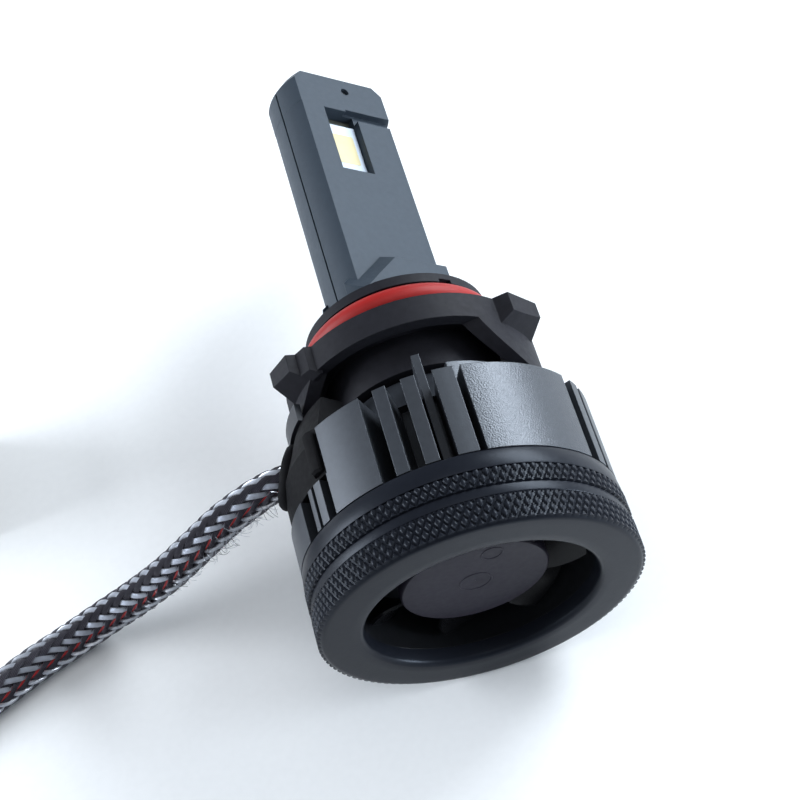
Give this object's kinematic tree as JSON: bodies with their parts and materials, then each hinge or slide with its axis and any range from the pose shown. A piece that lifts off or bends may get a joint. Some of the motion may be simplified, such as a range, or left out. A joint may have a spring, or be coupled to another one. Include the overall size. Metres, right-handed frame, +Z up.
{
  "type": "headlight bulb",
  "caption": "LED headlight bulb with a flat diode stem, a lugged collar with a seal, a finned heatsink, a fan in a knurled rear cap and a braided lead with a plug.",
  "frame": {"origin": "on the bulb's axis, at the front face of the collar's pilot flange", "axes": "+Y along the bulb's axis, towards the lamp tip; +Z up with the bulb lying on its side; +X to the right"},
  "size_m": [0.1246, 0.075, 0.036],
  "materials": {
    "rear_cap": "satin anodised, knurled",
    "heatsink": "satin anodised",
    "stem": "satin anodised",
    "heat_core": "plain",
    "led_board": "matte",
    "led": "satin",
    "screw_steel": "satin",
    "collar": "bead-blasted",
    "o_ring": "satin",
    "fan_plastic": "gloss",
    "hub_plastic": "matte",
    "magnet": "matte",
    "shaft_steel": "polished",
    "bearing_bronze": "plain",
    "winding": "enamelled wire",
    "board_green": "satin",
    "coil_core": "matte",
    "chip_black": "matte",
    "capacitor": "satin",
    "wire_red": "satin",
    "gland_rubber": "satin",
    "clamp_metal": "satin",
    "braid": "braided sleeve with silver tows",
    "sleeve_rubber": "matte",
    "plug_plastic": "matte",
    "seal_rubber": "matte",
    "pin_brass": "plated"
  },
  "bodies": {
    "lamp": {"rear_cap": "rear_cap", "heatsink": "heatsink", "stem_front_half": "stem", "stem_rear_half": "stem", "heat_core": "heat_core", "led_board_front": "led_board", "led_board_rear": "led_board", "led_front": "led", "led_rear": "led", "tip_screw": "screw_steel", "fan_frame": "fan_plastic", "fan_bearing": "bearing_bronze", "fan_stator": "winding", "fan_board": "board_green", "driver_board": "board_green", "driver_coil": "coil_core", "driver_chip": "chip_black", "driver_capacitor": "capacitor", "supply_wires": "wire_red", "cable_gland": "gland_rubber", "gland_clamp": "clamp_metal", "lead": "braid", "plug_sleeve": "sleeve_rubber", "plug_body": "plug_plastic", "plug_seal": "seal_rubber", "plug_pins": "pin_brass"},
    "collar": {"collar": "collar", "o_ring": "o_ring", "grub_screw": "screw_steel"},
    "rotor": {"fan_rotor": "hub_plastic", "rotor_magnet": "magnet", "fan_shaft": "shaft_steel"}
  },
  "joints": [
    {"name": "collar_turn", "type": "hinge", "parent": "lamp", "child": "collar", "pos_m": [0, -0.006, 0], "axis": [0, 1, 0], "range_deg": [-30, 30]},
    {"name": "fan_spin", "type": "hinge", "parent": "lamp", "child": "rotor", "pos_m": [0, -0.0316, 0], "axis": [0, 1, 0], "continuous": true}
  ]
}
